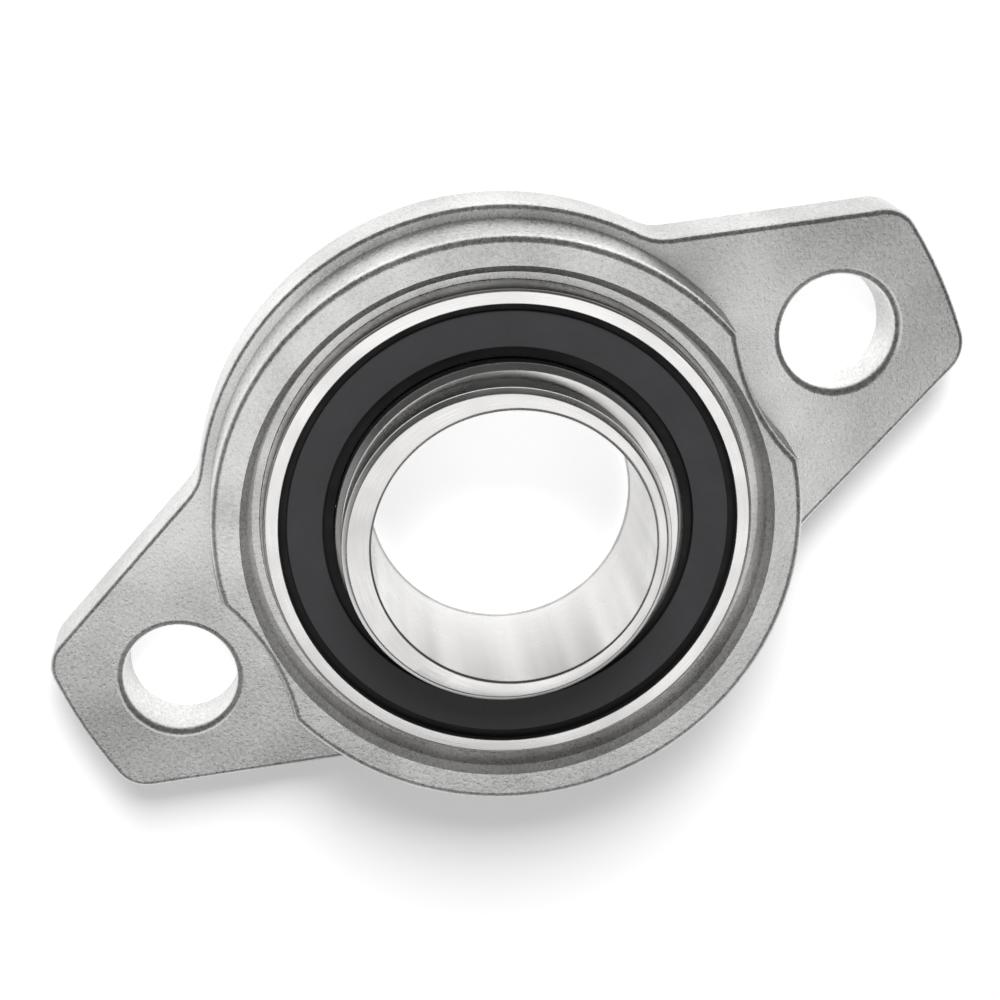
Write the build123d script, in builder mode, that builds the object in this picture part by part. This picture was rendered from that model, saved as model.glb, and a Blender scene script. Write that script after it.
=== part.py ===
from build123d import *

import os

# Two-bolt flange bearing unit, in millimetres.
# The bearing axis is Z. The origin is in the middle of the flat mounting face, the two ears
# lie along X, and the off-centre nose of the inner ring points up.

# Insert bearing: its diameters are built up from the bore outwards
bore_diameter = 30.0
ring_wall = 2.628            # of either ring, behind the floor of its raceway
ball_count = 11
ball_diameter = 7.144
ball_clearance = 0.05        # between a ball and the floor of a raceway
raceway_play = 0.138         # of a raceway's radius in section over the ball's
land_reach = 2.15            # from the pitch circle to the land of either ring

bore_edge_radius = 0.6
inner_ring_back_stand = 1.0  # of the inner ring's back end beyond the outer ring
shoulder_stand = 1.1         # of the shoulder under the nose beyond the outer ring
inner_ring_bevel = 0.7
nose_step = 1.5              # from the inner ring's outside in to the nose, before its offset
nose_length = 4.9            # of the off-centre end that a locking collar grips
nose_offset = 0.74
nose_direction = 148.6       # angle of the offset, from X
nose_bevel = 0.55
nose_relief_height = 0.9     # of the groove at the nose's foot, where the grinding wheel ran out
nose_relief_depth = 0.4

outer_ring_edge_radius = 0.4
outer_ring_face_width = 1.59 # from the sphere in to the thin edge that holds a seal
seal_lock_width = 0.75
seal_groove_depth = 0.47     # behind the thin edge
seal_groove_width = 1.35

# Cage: two pressed ribbons, riveted together around the balls
cage_inner_reach = 1.35      # from the pitch circle in to the cage's inner edge
cage_outer_reach = 1.6       # from the pitch circle out to the cage's outer edge
cage_thickness = 0.7
pocket_clearance = 0.1
rivet_diameter = 1.4
rivet_hole_clearance = 0.02
rivet_head_diameter = 2.4
rivet_head_height = 0.45

# Seals: rubber moulded on a flat steel ring, snapped into the outer ring
seal_cage_clearance = 0.428  # between the cage and the seal's flat web
seal_web_thickness = 0.9
seal_face_depth = 0.8        # from the outer ring's face down to the seal's flat face
seal_flat_margin = 0.83      # from the flat face's edge out to the outer ring's thin edge
seal_lip_width = 1.19
seal_lip_depth = 0.78        # from the flat face down to the lip
seal_lip_thickness = 0.35
seal_lip_clearance = 0.06    # between the lip and the turning inner ring
seal_rim_depth = 0.45        # from the flat face down to the rim
seal_rim_clearance = 0.1     # between the rim and the floor of its groove
seal_side_clearance = 0.02   # between the rim and the sides of its groove
core_thickness = 0.4
core_inner_cover = 1.54      # of rubber, from the lip's edge out to the core
core_outer_cover = 1.1       # of rubber, from the core out to the rim

# Seat: part of a sphere that the insert turns in, open to the front and to the back
seat_centre_height = 8.5
seat_clearance = 0.05        # between the seat and the outer ring
seat_front_reach = 3.55      # from the centre of the seat to its front edge
seat_back_reach = 5.5        # from the centre of the seat to its back edge
mouth_ledge_width = 0.83     # flat ledge around the front edge of the seat
mouth_wall_lean = 0.35       # of the wall that rises from the ledge
mouth_bevel_width = 0.75     # where the mouth meets the front face
mouth_bevel_height = 0.9
back_relief_width = 1.5      # around the back edge of the seat
back_relief_bevel = 0.6
slot_clearance = 0.25        # of the loading slots around the insert turned on edge

# Housing: a die-cast rhombic flange with a round boss
housing_height = 15.5
boss_wall = 5.5              # from the seat out to the boss's foot
boss_draft_angle = 4.3
boss_edge_radius = 0.9
notch_wall = 3.25            # from the seat out to a notch, at the boss's foot
notch_radius = 25.0
notch_corner_radius = 1.0
flange_thickness = 7.0
flange_draft_angle = 4.0
flange_edge_radius = 0.7
flange_step = 1.95           # from the boss's foot out to the flange's round, at the mounting face
bolt_pitch = 85.0            # between the two bolt holes
bolt_hole_diameter = 13.0
bolt_hole_edge_radius = 0.9  # rounding where a bolt head sits
ear_reach = 13.5             # from a bolt hole's middle to the end of its ear
ear_width = 29.0             # across an ear at its bolt hole, at the mounting face
ear_side_angle = 20.6        # between an ear's side and the long axis
ear_corner_radius = 4.6
ear_root_radius = 5.5        # inside corner between an ear and the round

# Sizes that follow from the ones above
bore_radius = bore_diameter / 2
ball_radius = ball_diameter / 2
raceway_radius = ball_radius + raceway_play
groove_floor_inner = bore_radius + ring_wall
pitch_radius = groove_floor_inner + ball_clearance + ball_radius
groove_floor_outer = pitch_radius + ball_radius + ball_clearance
sphere_radius = groove_floor_outer + ring_wall   # of the outer ring's spherical outside, 27.5
inner_ring_radius = pitch_radius - land_reach
outer_land_radius = pitch_radius + land_reach
nose_radius = inner_ring_radius - nose_step
pocket_radius = ball_radius + pocket_clearance
ball_spacing = 360 / ball_count
web_bottom = pocket_radius + cage_thickness + seal_cage_clearance
flat_height = web_bottom + seal_web_thickness
ring_half_width = flat_height + seal_face_depth  # of the outer ring, 6.5
inner_ring_back_reach = ring_half_width + inner_ring_back_stand
shoulder_reach = ring_half_width + shoulder_stand
seat_radius = sphere_radius + seat_clearance
boss_base_radius = seat_radius + boss_wall
flange_radius = boss_base_radius + flange_step
bolt_hole_x = bolt_pitch / 2
bolt_hole_radius = bolt_hole_diameter / 2
ball_plane = Plane.XY.offset(seat_centre_height)
section_plane = Plane((0, 0, seat_centre_height), x_dir=(1, 0, 0), z_dir=(0, -1, 0))


def sphere_point(radius, height):
    """Distance from the axis of a sphere's surface, at a height above its centre."""
    return (radius ** 2 - height ** 2) ** 0.5


os.makedirs("parts", exist_ok=True)

# Housing
with BuildPart() as housing:
    # Rhombic flange, drafted so that it leaves the die
    side_direction = Vector(1, 0, 0).rotate(Axis.Z, -ear_side_angle)
    side_middle = Vector(bolt_hole_x, ear_width / 2, 0)
    side_end = side_middle + side_direction * ear_width * 0.7
    side_start = side_middle - side_direction * (bolt_hole_x / side_direction.X)
    with BuildSketch() as flange_outline:
        with BuildLine():
            Polyline(
                (-side_end.X, -side_end.Y),
                (side_start.X, -side_start.Y),
                (side_end.X, -side_end.Y),
                (side_end.X, side_end.Y),
                (side_start.X, side_start.Y),
                (-side_end.X, side_end.Y),
                close=True,
            )
        make_face()
        Circle(bolt_hole_x + ear_reach, mode=Mode.INTERSECT)
        corners = flange_outline.vertices().filter_by(lambda v: abs(v.X) > bolt_hole_x and abs(v.Y) > 1)
        fillet(corners, ear_corner_radius)
        Circle(flange_radius)
        roots = flange_outline.vertices().filter_by(lambda v: bolt_hole_x > abs(v.X) > 1)
        fillet(roots.filter_by(lambda v: Vector(v).length < flange_radius + 0.01), ear_root_radius)
    extrude(amount=flange_thickness, taper=flange_draft_angle)
    fillet(housing.faces().sort_by(Axis.Z)[-1].edges(), flange_edge_radius)

    # Round boss, cut back towards each bolt hole
    boss_height = housing_height - flange_thickness
    with BuildSketch(Plane.XY.offset(flange_thickness)):
        Circle(boss_base_radius)
    extrude(amount=boss_height, taper=boss_draft_angle)
    notch_x = seat_radius + notch_wall + notch_radius
    for side in (-1, 1):
        with BuildSketch(Plane.XY.offset(flange_thickness)):
            with Locations((side * notch_x, 0)):
                Circle(notch_radius)
        extrude(amount=boss_height, taper=-boss_draft_angle, mode=Mode.SUBTRACT)
    notch_corners = housing.edges().filter_by(
        lambda e: abs(e.center().Z - flange_thickness - boss_height / 2) < 1 and abs(e.center().Y) > 1
    )
    fillet(notch_corners, notch_corner_radius)
    fillet(housing.faces().sort_by(Axis.Z)[-1].edges(), boss_edge_radius)

    # Bolt holes, rounded where the bolt heads sit
    with Locations((-bolt_hole_x, 0, flange_thickness), (bolt_hole_x, 0, flange_thickness)):
        Hole(bolt_hole_radius, depth=flange_thickness)
    hole_rims = housing.edges().filter_by(GeomType.CIRCLE).filter_by(
        lambda e: abs(e.radius - bolt_hole_radius) < 0.01 and e.center().Z > flange_thickness / 2
    )
    fillet(hole_rims, bolt_hole_edge_radius)

    # Spherical seat with its front mouth and back relief
    seat_front_radius = sphere_point(seat_radius, seat_front_reach)
    seat_back_radius = sphere_point(seat_radius, seat_back_reach)
    seat_front = seat_centre_height + seat_front_reach
    seat_back = seat_centre_height - seat_back_reach
    ledge_radius = seat_front_radius + mouth_ledge_width
    wall_radius = ledge_radius + mouth_wall_lean
    relief_radius = seat_back_radius + back_relief_width
    with BuildSketch(Plane.XZ):
        with BuildLine():
            ThreePointArc(
                (seat_back_radius, seat_back),
                (seat_radius, seat_centre_height),
                (seat_front_radius, seat_front),
            )
            Polyline(
                (seat_front_radius, seat_front),
                (ledge_radius, seat_front),
                (wall_radius, housing_height - mouth_bevel_height),
                (wall_radius + mouth_bevel_width, housing_height),
                (0, housing_height),
                (0, 0),
                (relief_radius + back_relief_bevel, 0),
                (relief_radius, back_relief_bevel),
                (relief_radius, seat_back),
                (seat_back_radius, seat_back),
            )
        make_face()
    revolve(axis=Axis.Z, mode=Mode.SUBTRACT)

    # Loading slots: the insert goes in on edge from the back and is then turned
    with BuildSketch():
        Circle(seat_radius + slot_clearance)
        Rectangle(2 * (ring_half_width + slot_clearance), 2 * flange_radius, mode=Mode.INTERSECT)
    extrude(amount=seat_centre_height, mode=Mode.SUBTRACT)
housing.part.label = "housing"
export_step(housing.part, "parts/housing.step")

# Outer ring
groove_centre_outer = groove_floor_outer - raceway_radius
groove_half_outer = sphere_point(raceway_radius, outer_land_radius - groove_centre_outer)
seal_lock_start = ring_half_width - seal_lock_width
seal_groove_start = seal_lock_start - seal_groove_width
ring_corner_radius = sphere_point(sphere_radius, ring_half_width)
seal_lock_radius = ring_corner_radius - outer_ring_face_width
seal_groove_radius = seal_lock_radius + seal_groove_depth
with BuildPart() as outer_ring:
    with BuildSketch(section_plane):
        with BuildLine():
            ThreePointArc(
                (ring_corner_radius, -ring_half_width),
                (sphere_radius, 0),
                (ring_corner_radius, ring_half_width),
            )
            Polyline(
                (ring_corner_radius, ring_half_width),
                (seal_lock_radius, ring_half_width),
                (seal_lock_radius, seal_lock_start),
                (seal_groove_radius, seal_lock_start),
                (seal_groove_radius, seal_groove_start),
                (outer_land_radius, seal_groove_start),
                (outer_land_radius, groove_half_outer),
            )
            ThreePointArc(
                (outer_land_radius, groove_half_outer),
                (groove_floor_outer, 0),
                (outer_land_radius, -groove_half_outer),
            )
            Polyline(
                (outer_land_radius, -groove_half_outer),
                (outer_land_radius, -seal_groove_start),
                (seal_groove_radius, -seal_groove_start),
                (seal_groove_radius, -seal_lock_start),
                (seal_lock_radius, -seal_lock_start),
                (seal_lock_radius, -ring_half_width),
                (ring_corner_radius, -ring_half_width),
            )
        make_face()
    revolve(axis=Axis.Z)
    ring_corners = outer_ring.edges().filter_by(GeomType.CIRCLE).filter_by(
        lambda e: abs(e.radius - ring_corner_radius) < 0.01
    )
    fillet(ring_corners, outer_ring_edge_radius)
outer_ring.part.label = "outer_ring"
export_step(outer_ring.part, "parts/outer_ring.step")

# Inner ring with its off-centre nose
groove_centre_inner = groove_floor_inner + raceway_radius
groove_half_inner = sphere_point(raceway_radius, groove_centre_inner - inner_ring_radius)
with BuildPart() as inner_ring:
    with BuildSketch(section_plane):
        with BuildLine():
            Polyline(
                (0, -inner_ring_back_reach),
                (inner_ring_radius - inner_ring_bevel, -inner_ring_back_reach),
                (inner_ring_radius, -inner_ring_back_reach + inner_ring_bevel),
                (inner_ring_radius, -groove_half_inner),
            )
            ThreePointArc(
                (inner_ring_radius, -groove_half_inner),
                (groove_floor_inner, 0),
                (inner_ring_radius, groove_half_inner),
            )
            Polyline(
                (inner_ring_radius, groove_half_inner),
                (inner_ring_radius, shoulder_reach - inner_ring_bevel),
                (inner_ring_radius - inner_ring_bevel, shoulder_reach),
                (0, shoulder_reach),
                (0, -inner_ring_back_reach),
            )
        make_face()
    revolve(axis=Axis.Z)
    nose_centre = Vector(nose_offset, 0, 0).rotate(Axis.Z, nose_direction)
    with BuildSketch(ball_plane.offset(shoulder_reach)):
        with Locations(nose_centre):
            Circle(nose_radius)
    extrude(amount=nose_length)
    nose_face = inner_ring.faces().sort_by(Axis.Z)[-1]
    chamfer(nose_face.edges(), nose_bevel)
    with BuildSketch(ball_plane.offset(shoulder_reach)):
        with Locations(nose_centre):
            Circle(nose_radius + nose_relief_depth)
            Circle(nose_radius - nose_relief_depth, mode=Mode.SUBTRACT)
    extrude(amount=nose_relief_height, mode=Mode.SUBTRACT)
    with Locations((0, 0, seat_centre_height + shoulder_reach + nose_length)):
        Hole(bore_radius)
    bore_rims = inner_ring.edges().filter_by(GeomType.CIRCLE).filter_by(
        lambda e: abs(e.radius - bore_radius) < 0.01
    )
    fillet(bore_rims, bore_edge_radius)
inner_ring.part.label = "inner_ring"
export_step(inner_ring.part, "parts/inner_ring.step")

# Balls
for index in range(ball_count):
    with BuildPart(ball_plane) as ball:
        with PolarLocations(pitch_radius, 1, start_angle=index * ball_spacing):
            Sphere(ball_radius)
    ball.part.label = f"ball_{index + 1}"
    export_step(ball.part, f"parts/ball_{index + 1}.step")

# Cage ribbons: half cups over the balls, joined by flats that carry the rivets
with BuildPart(ball_plane) as cage_front:
    with PolarLocations(pitch_radius, ball_count):
        Sphere(pocket_radius + cage_thickness)
    with BuildSketch(ball_plane):
        Circle(pitch_radius + cage_outer_reach)
        Circle(pitch_radius - cage_inner_reach, mode=Mode.SUBTRACT)
    extrude(amount=ball_diameter, mode=Mode.INTERSECT)
    with BuildSketch(ball_plane):
        Circle(pitch_radius + cage_outer_reach)
        Circle(pitch_radius - cage_inner_reach, mode=Mode.SUBTRACT)
    extrude(amount=cage_thickness)
    with PolarLocations(pitch_radius, ball_count):
        Sphere(pocket_radius, mode=Mode.SUBTRACT)
    with PolarLocations(pitch_radius, ball_count, start_angle=ball_spacing / 2):
        Cylinder(rivet_diameter / 2 + rivet_hole_clearance, 4 * cage_thickness, mode=Mode.SUBTRACT)
cage_front.part.label = "cage_front"
export_step(cage_front.part, "parts/cage_front.step")

with BuildPart() as cage_back:
    mirror(cage_front.part, about=ball_plane)
cage_back.part.label = "cage_back"
export_step(cage_back.part, "parts/cage_back.step")

# Rivets with a low head on both sides
with BuildPart(ball_plane) as cage_rivets:
    with PolarLocations(pitch_radius, ball_count, start_angle=ball_spacing / 2):
        Cylinder(rivet_diameter / 2, 2 * cage_thickness)
    for side in (-1, 1):
        head_height = side * (cage_thickness + rivet_head_height / 2)
        with Locations((0, 0, head_height)):
            with PolarLocations(pitch_radius, ball_count, start_angle=ball_spacing / 2):
                Cylinder(rivet_head_diameter / 2, rivet_head_height)
    head_faces = cage_rivets.faces().filter_by(Axis.Z).group_by(Axis.Z)
    chamfer(head_faces[-1].edges() + head_faces[0].edges(), rivet_head_height / 2)
cage_rivets.part.label = "cage_rivets"
export_step(cage_rivets.part, "parts/cage_rivets.step")

# Seals
core_top = web_bottom + core_thickness
lip_top = flat_height - seal_lip_depth
lip_bottom = lip_top - seal_lip_thickness
lip_radius = inner_ring_radius + seal_lip_clearance
flat_inner_radius = lip_radius + seal_lip_width
flat_outer_radius = seal_lock_radius - seal_flat_margin
rim_radius = seal_groove_radius - seal_rim_clearance
rim_top = flat_height - seal_rim_depth
rim_bottom = seal_groove_start + seal_side_clearance
core_inner_radius = lip_radius + core_inner_cover
core_outer_radius = rim_radius - core_outer_cover
with BuildPart() as front_seal:
    with BuildSketch(section_plane):
        with BuildLine():
            Polyline(
                (lip_radius, lip_bottom),
                (core_inner_radius, web_bottom),
                (core_inner_radius, core_top),
                (core_outer_radius, core_top),
                (core_outer_radius, rim_bottom),
                (rim_radius, rim_bottom),
                (rim_radius, rim_top),
                (flat_outer_radius, rim_top),
                (flat_outer_radius, flat_height),
                (flat_inner_radius, flat_height),
                (flat_inner_radius, lip_top),
                (lip_radius, lip_top),
                close=True,
            )
        make_face()
    revolve(axis=Axis.Z)
front_seal.part.label = "front_seal"
export_step(front_seal.part, "parts/front_seal.step")

with BuildPart() as front_seal_core:
    with BuildSketch(ball_plane.offset(web_bottom)):
        Circle(core_outer_radius)
        Circle(core_inner_radius, mode=Mode.SUBTRACT)
    extrude(amount=core_thickness)
front_seal_core.part.label = "front_seal_core"
export_step(front_seal_core.part, "parts/front_seal_core.step")

with BuildPart() as back_seal:
    mirror(front_seal.part, about=ball_plane)
back_seal.part.label = "back_seal"
export_step(back_seal.part, "parts/back_seal.step")

with BuildPart() as back_seal_core:
    mirror(front_seal_core.part, about=ball_plane)
back_seal_core.part.label = "back_seal_core"
export_step(back_seal_core.part, "parts/back_seal_core.step")
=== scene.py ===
# %% [markdown]
# # A two-bolt flange bearing unit
# A shaft that turns in a machine frame often runs in a unit like this one: a die-cast housing
# with two ears, and in it a sealed ball bearing whose outside is part of a sphere, so that it
# can swing a little and line itself up with the shaft. The solids come from the CAD model. This
# script gives them their finishes, turns the bright rings and the seals with finer profiles,
# and sets up the light, the floor and the camera.

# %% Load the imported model
import math

import bpy
import numpy as np
from mathutils import Matrix, Vector


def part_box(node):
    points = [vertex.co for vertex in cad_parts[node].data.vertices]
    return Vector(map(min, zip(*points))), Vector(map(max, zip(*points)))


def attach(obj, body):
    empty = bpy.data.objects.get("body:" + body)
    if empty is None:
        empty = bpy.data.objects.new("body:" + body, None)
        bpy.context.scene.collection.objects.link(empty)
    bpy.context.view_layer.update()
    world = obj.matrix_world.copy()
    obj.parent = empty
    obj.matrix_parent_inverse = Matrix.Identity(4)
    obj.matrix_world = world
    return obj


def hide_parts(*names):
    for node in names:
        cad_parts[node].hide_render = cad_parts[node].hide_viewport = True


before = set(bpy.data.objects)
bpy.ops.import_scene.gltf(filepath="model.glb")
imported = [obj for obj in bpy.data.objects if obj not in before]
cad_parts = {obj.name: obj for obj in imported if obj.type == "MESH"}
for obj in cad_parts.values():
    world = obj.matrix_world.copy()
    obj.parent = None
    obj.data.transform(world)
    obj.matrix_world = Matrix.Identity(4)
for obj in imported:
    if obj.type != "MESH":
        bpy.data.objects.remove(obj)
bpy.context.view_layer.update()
MM = 0.001
print("CAD nodes:", len(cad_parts))

# %% [markdown]
# ## Places read from the frame
# All the rings share one upright axis, and their heights are told from the plane through the
# middle of the balls. They could be typed in again here, but reading them from the frame keeps
# the new rings in step with the CAD.

# %% Heights and sizes of the insert
ring_low, ring_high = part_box("outer_ring")
inner_low, inner_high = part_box("inner_ring")
ball_height = (ring_low.z + ring_high.z) / 2
half_width = (ring_high.z - ring_low.z) / 2 / MM
back_end = (inner_low.z - ball_height) / MM
nose_end = (inner_high.z - ball_height) / MM
print("ball plane at", round(ball_height / MM, 2), "mm")
print("outer ring", round(2 * half_width, 2), "mm wide")
print("inner ring from", round(back_end, 2), "to", round(nose_end, 2), "mm")

# %% [markdown]
# ## A turned ring
# A ring made on a lathe is one closed profile carried round an axis. Blender's Screw modifier
# could carry a drawn line round, but then the profile's points would have to be placed by hand.
# Here the profile is a list of corners, and each corner is softened by a short arc, because no
# real edge is quite sharp and the soft edge is what catches the light. The grid has one
# parameter along the profile and one round the axis, so the whole ring is worked out as two
# arrays, with no loop over its points.

# %% Soften the corners of a profile
ARC_STEPS = 6
MOST_OF_A_SIDE = 0.6


def softened(corners):
    """Replaces each corner P of a closed profile by the arc (1-t)^2 A + 2t(1-t) P + t^2 B.

    A and B lie on the two sides that meet in P, at the corner's own rounding from it.
    Each row of corners holds radius, height and rounding, all in millimetres.
    """
    corners = np.asarray(corners, float)
    here, rounding = corners[:, :2], corners[:, 2:3]
    to_last = np.roll(here, 1, axis=0) - here
    to_next = np.roll(here, -1, axis=0) - here
    last_length = np.linalg.norm(to_last, axis=1, keepdims=True)
    next_length = np.linalg.norm(to_next, axis=1, keepdims=True)
    reach = np.minimum(rounding, MOST_OF_A_SIDE * np.minimum(last_length, next_length))
    start = (here + to_last / last_length * reach)[:, None]
    end = (here + to_next / next_length * reach)[:, None]
    t = np.linspace(0, 1, ARC_STEPS)[None, :, None]
    arcs = (1 - t) ** 2 * start + 2 * t * (1 - t) * here[:, None] + t ** 2 * end
    return arcs.reshape(-1, 2)


def arc(radius, centre, start, end, steps=21):
    """Circle in the profile's plane: the point (centre + radius cos a, radius sin a).

    The angle a goes from start to end, in degrees, in even steps.
    """
    angle = np.radians(np.linspace(start, end, steps))
    return np.stack([centre + radius * np.cos(angle), radius * np.sin(angle)], axis=-1)


# %% Carry a profile round an axis
def mesh_piece(name, points, faces):
    """Puts arrays of points and faces into a smooth-shaded mesh object."""
    mesh = bpy.data.meshes.new(name)
    mesh.from_pydata(points.tolist(), [], faces.tolist())
    mesh.shade_smooth()
    piece = bpy.data.objects.new(name, mesh)
    bpy.context.scene.collection.objects.link(piece)
    print(name, len(points), "points")
    return piece


def keep_flat_faces_flat(piece):
    """Weighs the normals at an edge by area, so that the large faces stay flat in the light."""
    weighted = piece.modifiers.new("flat_faces_stay_flat", "WEIGHTED_NORMAL")
    weighted.weight = 100


def turned(name, profile, around=360, shift=None):
    """Closed ring: point (r, h) of the profile at angle a goes to (r cos a, r sin a, h) + shift.

    The profile is in millimetres, with its heights told from the ball plane. It runs
    anticlockwise in the (radius, height) plane, which makes the faces point outwards.
    Each row of shift moves one point of the profile sideways, off the common axis.
    """
    profile = np.asarray(profile, float)
    rows = len(profile)
    angle = np.linspace(0, 2 * np.pi, around, endpoint=False)
    round_axis = np.stack([np.cos(angle), np.sin(angle)], axis=-1)
    points = np.zeros((rows, around, 3))
    points[..., :2] = profile[:, None, :1] * round_axis[None]
    points[..., 2] = profile[:, None, 1]
    if shift is not None:
        points[..., :2] += np.asarray(shift, float)[:, None, :]
    points *= MM
    points[..., 2] += ball_height
    index = np.arange(rows * around).reshape(rows, around)
    ahead = np.roll(index, -1, axis=1)
    above, ahead_above = np.roll(index, -1, axis=0), np.roll(ahead, -1, axis=0)
    faces = np.stack([index, ahead, ahead_above, above], axis=-1)
    ring = mesh_piece(name, points.reshape(-1, 3), faces.reshape(-1, 4))
    keep_flat_faces_flat(ring)
    return ring


# %% [markdown]
# ## The outer ring
# Its outside is a zone of a sphere, ground to slide in the housing's seat. At the front it shows
# only a narrow bright face. A thin edge inside that face holds the seal in, and the ball track
# is hidden below. The ring is the same on both sides, so only the front half of its profile is
# written, and the back half is its mirror image.

# %% Turn the outer ring
sphere_radius, sphere_edge = 27.5, 12.3
face_edge = 26.72
groove_mouth, groove_bottom, outer_land = 25.13, 25.6, 23.4
groove_top, groove_floor = half_width - 0.75, half_width - 2.1
track_radius, track_reach, track_edge = 3.71, 52, 2.45
outer_track_centre, inner_track_centre = 21.162, 21.338

sphere_zone = arc(sphere_radius, 0, -sphere_edge, sphere_edge)
front_side = softened([
    (*sphere_zone[-1], 0.0),
    (face_edge, half_width, 0.32),
    (groove_mouth, half_width, 0.12),
    (groove_mouth, groove_top, 0.05),
    (groove_bottom, groove_top, 0.05),
    (groove_bottom, groove_floor, 0.05),
    (outer_land, groove_floor, 0.15),
    (outer_land, track_edge, 0.1),
])[ARC_STEPS:]
ball_track = arc(track_radius, outer_track_centre, track_reach, -track_reach)
back_side = front_side[::-1] * [1, -1]
outer_profile = np.concatenate([sphere_zone, front_side, ball_track, back_side])
outer_ring = turned("outer_ring_turned", outer_profile)

# %% [markdown]
# ## The inner ring
# The end that a locking collar would grip is turned a little off centre: turned with the shaft,
# the collar wedges there. That is why its bright end face is wide on one side and narrow on the
# other. It could be a second ring joined to the first, but the same carrying round makes both
# in one skin, if the points of the nose are shifted sideways.

# %% Turn the inner ring with its off-centre nose
nose_offset, nose_direction = 0.74, math.radians(148.6)
bore_radius, nose_radius, inner_land, land_edge = 15.0, 17.6, 19.1, 2.9
relief_radius, relief_height = 17.2, 0.9
shoulder, shoulder_bevel, nose_bevel = nose_end - 4.9, 0.7, 0.55
back_corners = [
    (bore_radius, back_end, 0.55),
    (inner_land, back_end, 0.45),
    (inner_land, -land_edge, 0.1),
]
shoulder_corners = [
    (inner_land, land_edge, 0.1),
    (inner_land, shoulder - shoulder_bevel, 0.2),
    (inner_land - shoulder_bevel, shoulder, 0.15),
]
nose_corners = [
    (relief_radius, shoulder, 0.2),
    (relief_radius, shoulder + relief_height, 0.2),
    (nose_radius, shoulder + relief_height, 0.12),
    (nose_radius, nose_end - nose_bevel, 0.15),
    (nose_radius - nose_bevel, nose_end, 0.15),
]
bore_corner = [(bore_radius, nose_end, 0.6)]
inner_track = arc(track_radius, inner_track_centre, 180 + track_reach, 180 - track_reach)
high_part = softened(shoulder_corners + nose_corners + bore_corner)
inner_profile = np.concatenate([softened(back_corners), inner_track, high_part])
off_centre = np.zeros((len(inner_profile), 2))
nose_rows = slice(-ARC_STEPS * (len(nose_corners) + 1), -ARC_STEPS)
off_centre[nose_rows, 0] = nose_offset * math.cos(nose_direction)
off_centre[nose_rows, 1] = nose_offset * math.sin(nose_direction)
inner_ring = turned("inner_ring_turned", inner_profile, shift=off_centre)

# %% [markdown]
# ## The seals
# Each seal is rubber moulded on a thin steel ring. From the front one sees a flat black face, a
# groove at its outer edge where it snaps into the ring, and at its inner edge a step down to the
# lip that wipes the inner ring. The profile leaves room for the steel ring, which is a CAD node
# of its own. The back seal is the same seal turned over.

# %% Turn the two seals
lip_tip, lip_low, lip_high = 19.16, 4.57, 4.92
step_radius, rim_radius, seal_face = 20.35, 24.3, 5.7
core_inner, core_outer, core_low, core_high = 20.7, 24.4, 4.8, 5.2
bead_radius, bead_low, bead_high = 25.5, 4.42, 5.25
seal_profile = softened([
    (lip_tip, lip_low, 0.08),
    (core_inner, core_low, 0.05),
    (core_inner, core_high, 0.0),
    (core_outer, core_high, 0.0),
    (core_outer, bead_low, 0.0),
    (bead_radius, bead_low, 0.1),
    (bead_radius, bead_high, 0.1),
    (rim_radius, bead_high, 0.12),
    (rim_radius, seal_face, 0.14),
    (step_radius, seal_face, 0.16),
    (step_radius, lip_high, 0.12),
    (lip_tip, lip_high, 0.1),
])
front_seal = turned("front_seal_moulded", seal_profile)
back_seal = turned("back_seal_moulded", seal_profile[::-1] * [1, -1])

# %% Let the turned pieces stand for their CAD nodes
for piece, node, body, finish in [
    (outer_ring, "outer_ring", "outer_ring", "outer_ring_steel"),
    (inner_ring, "inner_ring", "inner_ring", "inner_ring_steel"),
    (front_seal, "front_seal", "outer_ring", "seal_rubber"),
    (back_seal, "back_seal", "outer_ring", "seal_rubber"),
]:
    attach(piece, body)
    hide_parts(node)
    print(piece.name, "rides on", body)

# %% [markdown]
# ## Smooth shading for the CAD nodes
# A CAD node arrives as loose triangles, and shaded as they are they would show their facets.
# Its mesh is left alone, and modifiers do the rest: Weld joins the triangles, and Edge Split
# keeps the real edges crisp while the curves shade smoothly.

# %% Smooth the nodes that stay
replaced = {"outer_ring", "inner_ring", "front_seal", "back_seal"}
kept_nodes = {name: node for name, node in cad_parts.items() if name not in replaced}
for node in kept_nodes.values():
    node.data.shade_smooth()
    weld = node.modifiers.new("join_triangles", "WELD")
    weld.merge_threshold = 2e-6
    split = node.modifiers.new("keep_edges", "EDGE_SPLIT")
    split.split_angle = math.radians(28)
    keep_flat_faces_flat(node)
print("smoothed", len(kept_nodes), "CAD nodes")

# %% [markdown]
# ## Finishes
# Every finish starts from a Principled shader, with its even values set on the shader itself.
# What varies over the surface could come from photographs of metal, but noise has no edges and
# no repeats. It is read in object coordinates, in metres, so a noise scale of 1000 gives spots
# about a millimetre apart. The helpers below each stand for one node.


# %% Helpers that build a material
def start_finish(name, roughness, metallic, specular=0.5):
    """New node material: returns it with its node tree and its Principled shader."""
    finish = bpy.data.materials.new(name)
    finish.use_nodes = True
    shader = finish.node_tree.nodes["Principled BSDF"]
    shader.inputs["Roughness"].default_value = roughness
    shader.inputs["Metallic"].default_value = metallic
    shader.inputs["Specular IOR Level"].default_value = specular
    print("finish", name)
    return finish, finish.node_tree, shader


def feed(tree, source, socket):
    """Links another node's output to a socket, or sets the socket to a plain value."""
    if isinstance(source, bpy.types.NodeSocket):
        tree.links.new(source, socket)
    else:
        socket.default_value = source


def calculate(tree, operation, first, second):
    """One step of arithmetic on two values."""
    step = tree.nodes.new("ShaderNodeMath")
    step.operation = operation
    feed(tree, first, step.inputs[0])
    feed(tree, second, step.inputs[1])
    return step.outputs["Value"]


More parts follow.
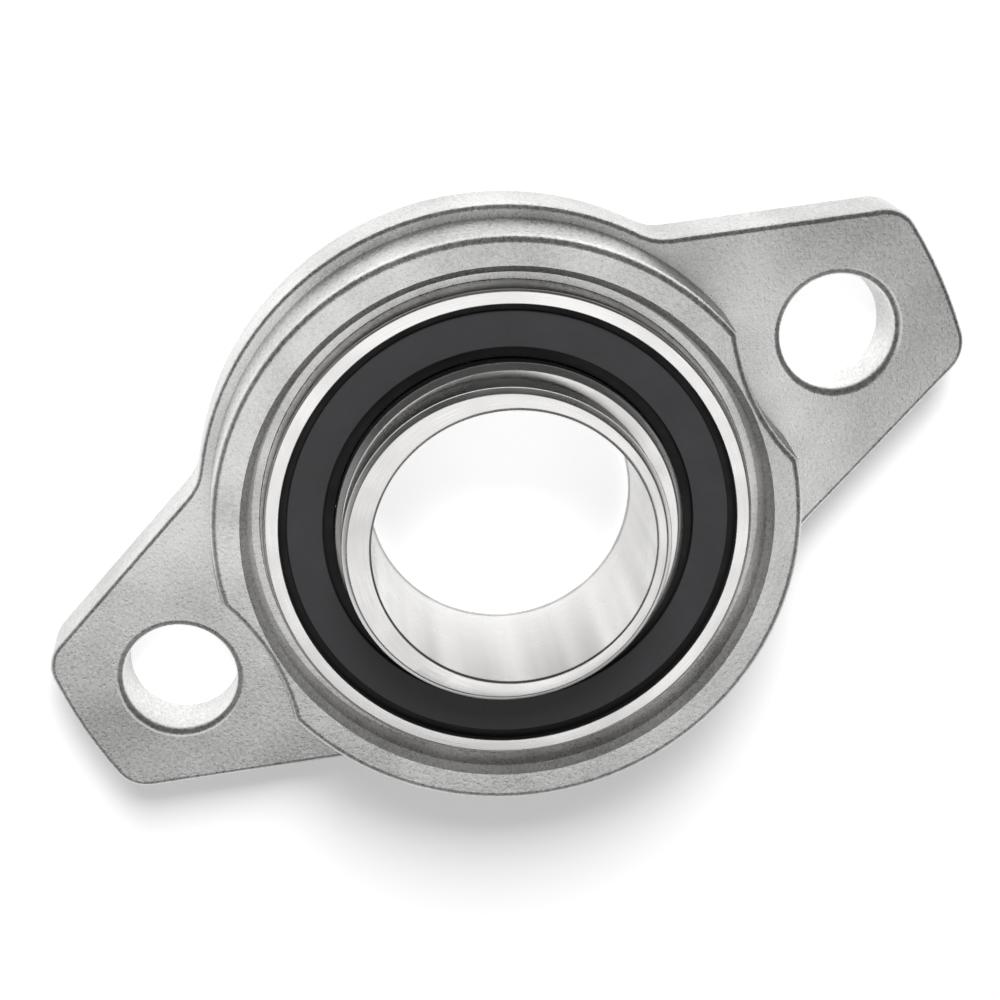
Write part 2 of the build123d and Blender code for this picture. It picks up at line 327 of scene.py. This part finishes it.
def vector_step(tree, operation, first, second=(0, 0, 0)):
    """One step on vectors: gives a value for a length or a distance, and else a vector."""
    step = tree.nodes.new("ShaderNodeVectorMath")
    step.operation = operation
    feed(tree, first, step.inputs[0])
    feed(tree, second, step.inputs[1])
    return step.outputs["Value" if operation in ("LENGTH", "DISTANCE") else "Vector"]


def combined(tree, x, y, z=0.0):
    """Vector from its three parts."""
    whole = tree.nodes.new("ShaderNodeCombineXYZ")
    for part, name in ((x, "X"), (y, "Y"), (z, "Z")):
        feed(tree, part, whole.inputs[name])
    return whole.outputs["Vector"]


def object_place(tree):
    """Coordinates of the object's own space, in metres."""
    return tree.nodes.new("ShaderNodeTexCoord").outputs["Object"]


def place_round_axis(tree):
    """Parts of the place in the object, the place seen from above, and its distance from the axis."""
    parts = tree.nodes.new("ShaderNodeSeparateXYZ")
    tree.links.new(object_place(tree), parts.inputs["Vector"])
    flat = combined(tree, parts.outputs["X"], parts.outputs["Y"])
    return parts.outputs, flat, vector_step(tree, "LENGTH", flat)


def noise(tree, where, scale, detail=3.0, roughness=0.5):
    """Noise from 0 to 1 at the given coordinates."""
    spots = tree.nodes.new("ShaderNodeTexNoise")
    spots.inputs["Scale"].default_value = scale
    spots.inputs["Detail"].default_value = detail
    spots.inputs["Roughness"].default_value = roughness
    tree.links.new(where, spots.inputs["Vector"])
    return spots.outputs["Fac"]


def spread(tree, value, low, high, to_low=0.0, to_high=1.0):
    """Stretches the part of a value between low and high over to_low to to_high."""
    stretch = tree.nodes.new("ShaderNodeMapRange")
    for socket, number in zip(("From Min", "From Max", "To Min", "To Max"),
                              (low, high, to_low, to_high)):
        stretch.inputs[socket].default_value = number
    tree.links.new(value, stretch.inputs["Value"])
    return stretch.outputs["Result"]


def tint(tree, value, dark, light):
    """Colour between dark and light, as the value goes from 0 to 1."""
    ramp = tree.nodes.new("ShaderNodeValToRGB")
    ramp.color_ramp.elements[0].color = (*dark, 1)
    ramp.color_ramp.elements[1].color = (*light, 1)
    tree.links.new(value, ramp.inputs["Fac"])
    return ramp.outputs["Color"]


def blend(tree, kind, first, second, share):
    """Mix of two values, kind FLOAT, or two colours, kind RGBA: share is the second one's part."""
    mix = tree.nodes.new("ShaderNodeMix")
    mix.data_type = kind
    feed(tree, share, mix.inputs["Factor"])
    feed(tree, first, mix.inputs["A"])
    feed(tree, second, mix.inputs["B"])
    return mix.outputs["Result"]


def relief(tree, shader, height, depth):
    """Bump of the given depth in metres, added to the shader."""
    bump = tree.nodes.new("ShaderNodeBump")
    bump.inputs["Strength"].default_value = 1.0
    bump.inputs["Distance"].default_value = depth
    tree.links.new(height, bump.inputs["Height"])
    tree.links.new(bump.outputs["Normal"], shader.inputs["Normal"])


# %% [markdown]
# ### Die-cast alloy
# The housing comes out of its die with a dull, slightly grainy skin and is then blasted. Up close
# it is a light grey with fine dark and bright specks and broad, faint clouds. One noise could
# give the specks alone, but three sizes of it look less even, as the real skin does.

# %% Die-cast alloy finish
cast_finish, tree, shader = start_finish("blasted_die_cast", 0.3, metallic=0.95, specular=0.4)
place = object_place(tree)
clouds = noise(tree, place, 90, detail=2)
specks = noise(tree, place, 2300, detail=4, roughness=0.7)
grain = noise(tree, place, 5200, detail=3, roughness=0.6)
mottle = spread(tree, blend(tree, "FLOAT", clouds, specks, 0.62), 0.38, 0.62)
cast_colour = tint(tree, mottle, (0.45, 0.447, 0.44), (0.8, 0.796, 0.787))
tree.links.new(cast_colour, shader.inputs["Base Color"])
tree.links.new(spread(tree, specks, 0.35, 0.65, 0.24, 0.37), shader.inputs["Roughness"])
relief(tree, shader, blend(tree, "FLOAT", specks, grain, 0.4), 0.045 * MM)

# %% [markdown]
# ### Ground steel
# Grinding leaves fine lines round the axis of each ring. The lines depend on the distance from
# the axis and the height, and hardly on the angle, so the noise is read at those coordinates.
# Lines too fine to see still pull a highlight across themselves. That could be drawn with more
# and finer lines, but the shader's Anisotropic does it better, from the direction of the lines.


# %% Ground steel finishes
ANGLE_SHARE = 0.0004
BORE_EDGE = (15.4 * MM, 15.2 * MM)


def ground_steel(name, colour, roughness, line_depth, line_scale=9000, pull=0.0, bore=None):
    """Bright steel with grinding lines round the upright axis.

    Pull is how far the lines stretch a highlight across themselves. The shader takes the lines'
    own direction for it, which at (x, y) is (-y, x, 0). Bore is a pair of colours for the inside
    of the ring, which is darker: its tone changes softly with the angle alone, which paints soft
    streaks of reflection along the axis.
    """
    finish, tree, shader = start_finish(name, roughness, metallic=1.0)
    parts, flat, radius = place_round_axis(tree)
    angle = calculate(tree, "ARCTAN2", parts["Y"], parts["X"])
    slow_angle = calculate(tree, "MULTIPLY", angle, ANGLE_SHARE)
    lines = noise(tree, combined(tree, radius, slow_angle, parts["Z"]), line_scale, detail=2)
    smears = noise(tree, object_place(tree), 140, detail=3)
    tone = spread(tree, blend(tree, "FLOAT", lines, smears, 0.45), 0.35, 0.65)
    surface = tint(tree, tone, tuple(0.86 * channel for channel in colour), colour)
    if bore:
        # The bore's tone goes with the angle alone: painted streaks of reflection along the axis.
        painted_reflection_streaks = noise(tree, vector_step(tree, "NORMALIZE", flat), 2.6, detail=2)
        inside = tint(tree, spread(tree, painted_reflection_streaks, 0.35, 0.65), *bore)
        surface = blend(tree, "RGBA", surface, inside, spread(tree, radius, *BORE_EDGE))
    tree.links.new(surface, shader.inputs["Base Color"])
    wear = spread(tree, smears, 0.35, 0.65, roughness * 0.85, roughness * 1.25)
    tree.links.new(wear, shader.inputs["Roughness"])
    relief(tree, shader, lines, line_depth)
    if pull:
        to_world = tree.nodes.new("ShaderNodeVectorTransform")
        to_world.vector_type = "VECTOR"
        to_world.convert_from, to_world.convert_to = "OBJECT", "WORLD"
        minus_y = calculate(tree, "MULTIPLY", parts["Y"], -1.0)
        tree.links.new(combined(tree, minus_y, parts["X"]), to_world.inputs["Vector"])
        tree.links.new(to_world.outputs["Vector"], shader.inputs["Tangent"])
        shader.inputs["Anisotropic"].default_value = pull
    return finish


outer_steel = ground_steel("ground_ring_steel", (0.86, 0.845, 0.835), 0.26, 0.003 * MM, pull=0.5)
# The inner ring's bore is darker, with painted streaks of reflection along the axis.
inner_steel = ground_steel("polished_ring_steel", (0.78, 0.77, 0.76), 0.26, 0.002 * MM, pull=0.6,
                           bore=((0.3, 0.297, 0.293), (0.66, 0.655, 0.65)))
ball_steel = ground_steel("polished_ball_steel", (0.75, 0.75, 0.76), 0.08, 0.0005 * MM,
                          line_scale=3000)
strip_steel = ground_steel("pressed_strip_steel", (0.55, 0.54, 0.53), 0.38, 0.004 * MM,
                           line_scale=4000)
core_steel = ground_steel("seal_core_steel", (0.5, 0.5, 0.5), 0.4, 0.004 * MM, line_scale=4000)

# %% [markdown]
# ### Moulded rubber
# The seal is almost black, with a satin skin from its mould and a trace of dust, which shows as
# a faint greyish cloudiness on its flat face. The lip in its step and the rim by its groove are
# painted near black, as painted shade in those hollows. They could have a material of their own,
# but the seal is one skin, so the distance from the axis tells where the painted shade begins.

# %% Moulded rubber finish
# Where the painted shade of the lip and of the rim begins, in metres from the axis.
LIP_SHADE_EDGE = (20.25 * MM, 20.5 * MM)
RIM_SHADE_EDGE = (24.35 * MM, 24.15 * MM)
rubber_finish, tree, shader = start_finish("moulded_black_rubber", 0.55, metallic=0.0,
                                           specular=0.4)
place = object_place(tree)
dust = noise(tree, place, 260, detail=5, roughness=0.65)
pores = noise(tree, place, 6000, detail=2)
dusty = tint(tree, spread(tree, dust, 0.3, 0.75), (0.026, 0.026, 0.028), (0.04, 0.04, 0.043))
from_axis = place_round_axis(tree)[2]
outside_painted_shade = calculate(tree, "MINIMUM", spread(tree, from_axis, *LIP_SHADE_EDGE),
                    spread(tree, from_axis, *RIM_SHADE_EDGE))
# Near black at the lip and the rim: painted shade in the step and the groove.
rubber_colour = blend(tree, "RGBA", (0.006, 0.006, 0.0065, 1), dusty, outside_painted_shade)
tree.links.new(rubber_colour, shader.inputs["Base Color"])
tree.links.new(spread(tree, dust, 0.35, 0.7, 0.5, 0.68), shader.inputs["Roughness"])
relief(tree, shader, pores, 0.008 * MM)


# %% Give every piece its finish
def give_finish(piece, finish):
    """Puts one finish in all of a piece's material slots."""
    if not piece.data.materials:
        piece.data.materials.append(finish)
    for index in range(len(piece.data.materials)):
        piece.data.materials[index] = finish


give_finish(outer_ring, outer_steel)
give_finish(inner_ring, inner_steel)
give_finish(front_seal, rubber_finish)
give_finish(back_seal, rubber_finish)
for name, node in kept_nodes.items():
    if name.startswith("ball_"):
        give_finish(node, ball_steel)
    elif name.startswith("cage_"):
        give_finish(node, strip_steel)
    elif name.endswith("_core"):
        give_finish(node, core_steel)
    else:
        give_finish(node, cast_finish)
        print("cast:", name)

# %% [markdown]
# ## Floor and sky
# The unit lies on its mounting face on a plain pale floor, as in a catalogue picture. The floor
# keeps the unit's shadow. More light could make it white, but it would wash out the metal, so a
# little glow does it, which only the camera and mirrored rays meet. Under the bore and the bolt
# holes the unit shades the floor from nearly every side, though such a picture is plain white
# there, so the glow is stronger in those three discs, and it grows again far out, where the
# lamps no longer reach. The sky fills the shadows evenly and looks white to the camera.


# %% White for the camera and for the metal
def white_for_view(tree, plain, white):
    """Mixes two shaders so that camera, glossy and transmission rays meet the white one."""
    path = tree.nodes.new("ShaderNodeLightPath")
    seen = path.outputs["Is Camera Ray"]
    for ray in ("Is Glossy Ray", "Is Transmission Ray"):
        seen = calculate(tree, "MAXIMUM", seen, path.outputs[ray])
    mix = tree.nodes.new("ShaderNodeMixShader")
    tree.links.new(seen, mix.inputs["Fac"])
    tree.links.new(plain, mix.inputs[1])
    tree.links.new(white, mix.inputs[2])
    return mix.outputs["Shader"]


# %% Floor
floor_half = 1.5
disc_edge = 2 * MM
far_start, far_end = 0.25, 0.8
open_glow, covered_glow, far_glow = 0.08, 0.62, 0.72
covered_discs = [(-42.5, 10), (0, 30), (42.5, 10)]

floor_points = np.array([[-1, -1, 0], [1, -1, 0], [1, 1, 0], [-1, 1, 0]], float) * floor_half
floor = mesh_piece("floor", floor_points, np.array([[0, 1, 2, 3]]))
floor_finish, tree, shader = start_finish("pale_floor", 0.9, metallic=0.0, specular=0.0)
shader.inputs["Base Color"].default_value = (0.93, 0.93, 0.93, 1)
place = object_place(tree)
strength = spread(tree, vector_step(tree, "LENGTH", place), far_start, far_end,
                  open_glow, far_glow)
for x, radius in covered_discs:
    away = vector_step(tree, "DISTANCE", place, (x * MM, 0, 0))
    disc = spread(tree, away, radius * MM, radius * MM - disc_edge, open_glow, covered_glow)
    strength = calculate(tree, "MAXIMUM", strength, disc)
glow = tree.nodes.new("ShaderNodeEmission")
tree.links.new(strength, glow.inputs["Strength"])
glowing = tree.nodes.new("ShaderNodeAddShader")
tree.links.new(shader.outputs["BSDF"], glowing.inputs[0])
tree.links.new(glow.outputs["Emission"], glowing.inputs[1])
floor_look = white_for_view(tree, shader.outputs["BSDF"], glowing.outputs["Shader"])
tree.links.new(floor_look, tree.nodes["Material Output"].inputs["Surface"])
give_finish(floor, floor_finish)

# %% Pale sky, white where the camera or the metal looks at it
sky = bpy.data.worlds.new("pale_sky")
bpy.context.scene.world = sky
sky.use_nodes = True
tree = sky.node_tree
fill = tree.nodes["Background"]
fill.inputs["Color"].default_value = (1, 1, 1, 1)
fill.inputs["Strength"].default_value = 0.3
white = tree.nodes.new("ShaderNodeBackground")
white.inputs["Color"].default_value = (1, 1, 1, 1)
white.inputs["Strength"].default_value = 1.0
sky_look = white_for_view(tree, fill.outputs[0], white.outputs[0])
tree.links.new(sky_look, tree.nodes["World Output"].inputs["Surface"])
print("sky fills with", round(fill.inputs["Strength"].default_value, 2))

# %% [markdown]
# ## Lamps and booth
# Metal shows what stands round it, so the light is built for its mirror image too. A lamp low
# behind the unit lights the walls that face it and casts the soft shadow in front. It is hidden
# from mirrored rays, so it leaves no bright spot inside the mouth. The flat faces mirror a broad
# lamp overhead. One even sky would light the unit as well, but metal under it looks like
# plaster, so panels that only mirrored rays meet stand round it: dark behind and above, pale in
# front, which draws the darker lines along the rounded edges.


# %% Lamps
def soft_lamp(name, place, width, height, watts):
    """Rectangular lamp that faces the unit."""
    data = bpy.data.lights.new(name, "AREA")
    data.shape = "RECTANGLE"
    data.size, data.size_y = width, height
    data.energy = watts
    lamp = bpy.data.objects.new(name, data)
    lamp.location = place
    lamp.rotation_euler = (-Vector(place)).to_track_quat("-Z", "Y").to_euler()
    bpy.context.scene.collection.objects.link(lamp)
    print(name, watts, "W")
    return lamp


back_lamp = soft_lamp("back_lamp", (0.16, 0.3, 0.31), 0.22, 0.22, 2.55)
back_lamp.visible_glossy = False
soft_lamp("roof_lamp", (-0.095, -0.098, 0.6), 0.7, 0.33, 0.89)

# %% Booth: sides and a roof that only mirrored rays meet
booth_half, booth_height = 1.0, 0.7
booth_corners = np.array([(-1, -1), (1, -1), (1, 1), (-1, 1)], float) * booth_half
booth_points = np.concatenate([
    np.pad(booth_corners, ((0, 0), (0, 1)), constant_values=level) for level in (0, booth_height)
])


def booth_panels(name, panels, level):
    """Glowing panels, each given by the numbers of its four corners of the booth."""
    booth = mesh_piece(name, booth_points, np.array(panels))
    booth.visible_camera = booth.visible_diffuse = booth.visible_shadow = False
    finish, tree, shader = start_finish(name, 0.9, metallic=0.0, specular=0.0)
    shader.inputs["Base Color"].default_value = (0.05, 0.05, 0.05, 1)
    shader.inputs["Emission Color"].default_value = (1, 1, 1, 1)
    shader.inputs["Emission Strength"].default_value = level
    give_finish(booth, finish)


right, back, roof = (2, 1, 5, 6), (3, 2, 6, 7), (7, 6, 5, 4)
front, left = (1, 0, 4, 5), (0, 3, 7, 4)
booth_panels("dark_back_and_roof", [right, back, roof], 0.07)
booth_panels("pale_front_and_left", [front, left], 0.28)

# %% [markdown]
# ## Camera
# The camera stands about 19 cm off and looks down from a little beside the bearing's axis, so
# the rings show as ovals and the near edges look larger than the far ones. It could be placed by
# eye, but its place and turn were worked out, as the ones at which the CAD's circles fall on the
# circles of the picture.

# %% Camera
camera_data = bpy.data.cameras.new("camera")
camera_data.lens = 57.75
camera_data.sensor_width = 36.0
camera_data.clip_start = 0.01
camera = bpy.data.objects.new("camera", camera_data)
bpy.context.scene.collection.objects.link(camera)
camera_place = Vector((13.196, 57.831, 179.846)) * MM
to_right = Vector((0.882545, -0.462511, 0.084834))
to_top = Vector((0.464716, 0.830348, -0.307507))
to_viewer = Vector((0.071784, 0.310813, 0.947756))
turn = Matrix((to_right, to_top, to_viewer)).transposed().to_4x4()
camera.matrix_world = Matrix.Translation(camera_place) @ turn
bpy.context.scene.camera = camera
bpy.context.scene.view_settings.view_transform = "Standard"
print("camera", round(camera_place.length, 3), "m from the unit")
